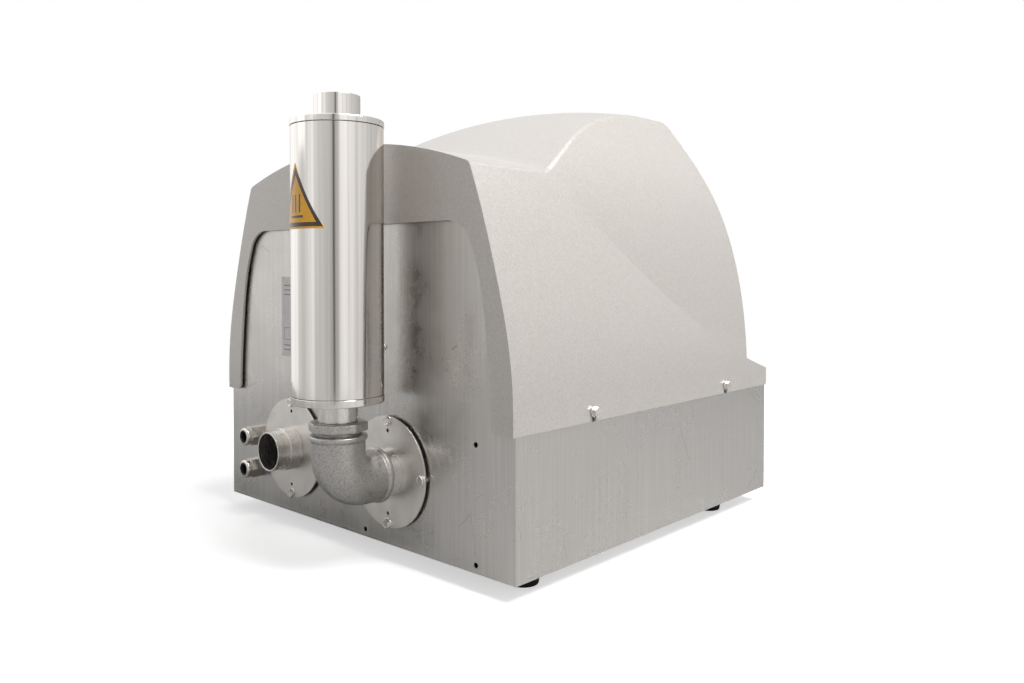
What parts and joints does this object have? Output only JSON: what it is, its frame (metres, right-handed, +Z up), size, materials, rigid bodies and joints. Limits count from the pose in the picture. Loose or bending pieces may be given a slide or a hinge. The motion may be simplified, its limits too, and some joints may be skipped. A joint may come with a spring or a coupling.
{
  "type": "enclosed side channel blower unit",
  "caption": "Side channel blower under a lift-off acoustic hood on a sheet metal base, with an inlet stub, an elbow and an upright exhaust silencer on the rear panel.",
  "frame": {"origin": "on the floor, under the centre of the whole unit's bounding box", "axes": "+Z up, -Y towards the pipe side, +Y towards the cowl, X across the unit"},
  "size_m": [0.5646, 0.6686, 0.574],
  "materials": {
    "hood_paint": "semi-gloss metallic grey paint",
    "acoustic_foam": "open-cell foam",
    "black_rubber": "moulded",
    "galvanised_sheet": "rolled, lightly scratched",
    "flange_steel": "satin",
    "zinc_plated_steel": "bright zinc plate",
    "satin_pipe": "satin turned",
    "cast_fitting": "hot-dip galvanised casting",
    "polished_steel": "polished",
    "perforated_steel": "mill finish",
    "mineral_wool": "packed fibre",
    "yellow_label": "printed film",
    "white_label": "printed film",
    "nickel_plated_brass": "bright nickel plate",
    "cast_aluminium": "die cast",
    "electrical_steel": "laminated",
    "copper_winding": "varnished",
    "bearing_steel": "ground",
    "black_plastic": "moulded",
    "painted_sheet": "powder coat"
  },
  "bodies": {
    "base": {"rubber_foot_1": "black_rubber", "rubber_foot_2": "black_rubber", "rubber_foot_3": "black_rubber", "rubber_foot_4": "black_rubber", "inlet_gasket": "black_rubber", "outlet_gasket": "black_rubber", "gland_seals": "black_rubber", "vibration_mounts": "black_rubber", "inlet_sleeve": "black_rubber", "outlet_sleeve": "black_rubber", "floor_plate": "galvanised_sheet", "base_wall": "galvanised_sheet", "rear_panel": "galvanised_sheet", "left_rail": "galvanised_sheet", "right_rail": "galvanised_sheet", "inlet_flange": "flange_steel", "outlet_flange": "flange_steel", "panel_screw": "zinc_plated_steel", "foot_screws": "zinc_plated_steel", "flange_bolts": "zinc_plated_steel", "hood_screws": "zinc_plated_steel", "hood_washers": "zinc_plated_steel", "rim_nuts": "zinc_plated_steel", "cover_screws": "zinc_plated_steel", "sleeve_clamps": "zinc_plated_steel", "inlet_stub": "satin_pipe", "outlet_collar": "satin_pipe", "silencer_neck": "satin_pipe", "pipe_elbow": "cast_fitting", "reducing_bush": "cast_fitting", "silencer_shell": "polished_steel", "silencer_bottom_cap": "polished_steel", "silencer_top_cap": "polished_steel", "tail_pipe": "polished_steel", "silencer_core": "perforated_steel", "silencer_wool": "mineral_wool", "heat_label": "yellow_label", "data_label": "white_label", "gland_bodies": "nickel_plated_brass", "gland_caps": "nickel_plated_brass", "gland_locknuts": "nickel_plated_brass", "blower_casing": "cast_aluminium", "blower_cover": "cast_aluminium", "motor_housing": "cast_aluminium", "end_shield": "cast_aluminium", "stator_core": "electrical_steel", "stator_windings": "copper_winding", "drive_bearing": "bearing_steel", "fan_bearing": "bearing_steel", "terminal_box": "black_plastic", "terminal_cover": "black_plastic", "fan_cover": "painted_sheet"},
    "rotor": {"motor_shaft": "bearing_steel", "rotor_core": "electrical_steel", "impeller": "cast_aluminium", "impeller_nut": "zinc_plated_steel", "cooling_fan": "black_plastic"},
    "hood": {"hood_shell": "hood_paint", "hood_foam": "acoustic_foam", "arch_seal": "black_rubber"}
  },
  "joints": [
    {"name": "rotor_spin", "type": "hinge", "parent": "base", "child": "rotor", "pos_m": [-0.0195, -0.01025, 0.252], "axis": [0, 1, 0], "continuous": true},
    {"name": "hood_lift", "type": "slide", "parent": "base", "child": "hood", "axis": [0, 0, 1], "range_m": [0, 0.45]}
  ]
}
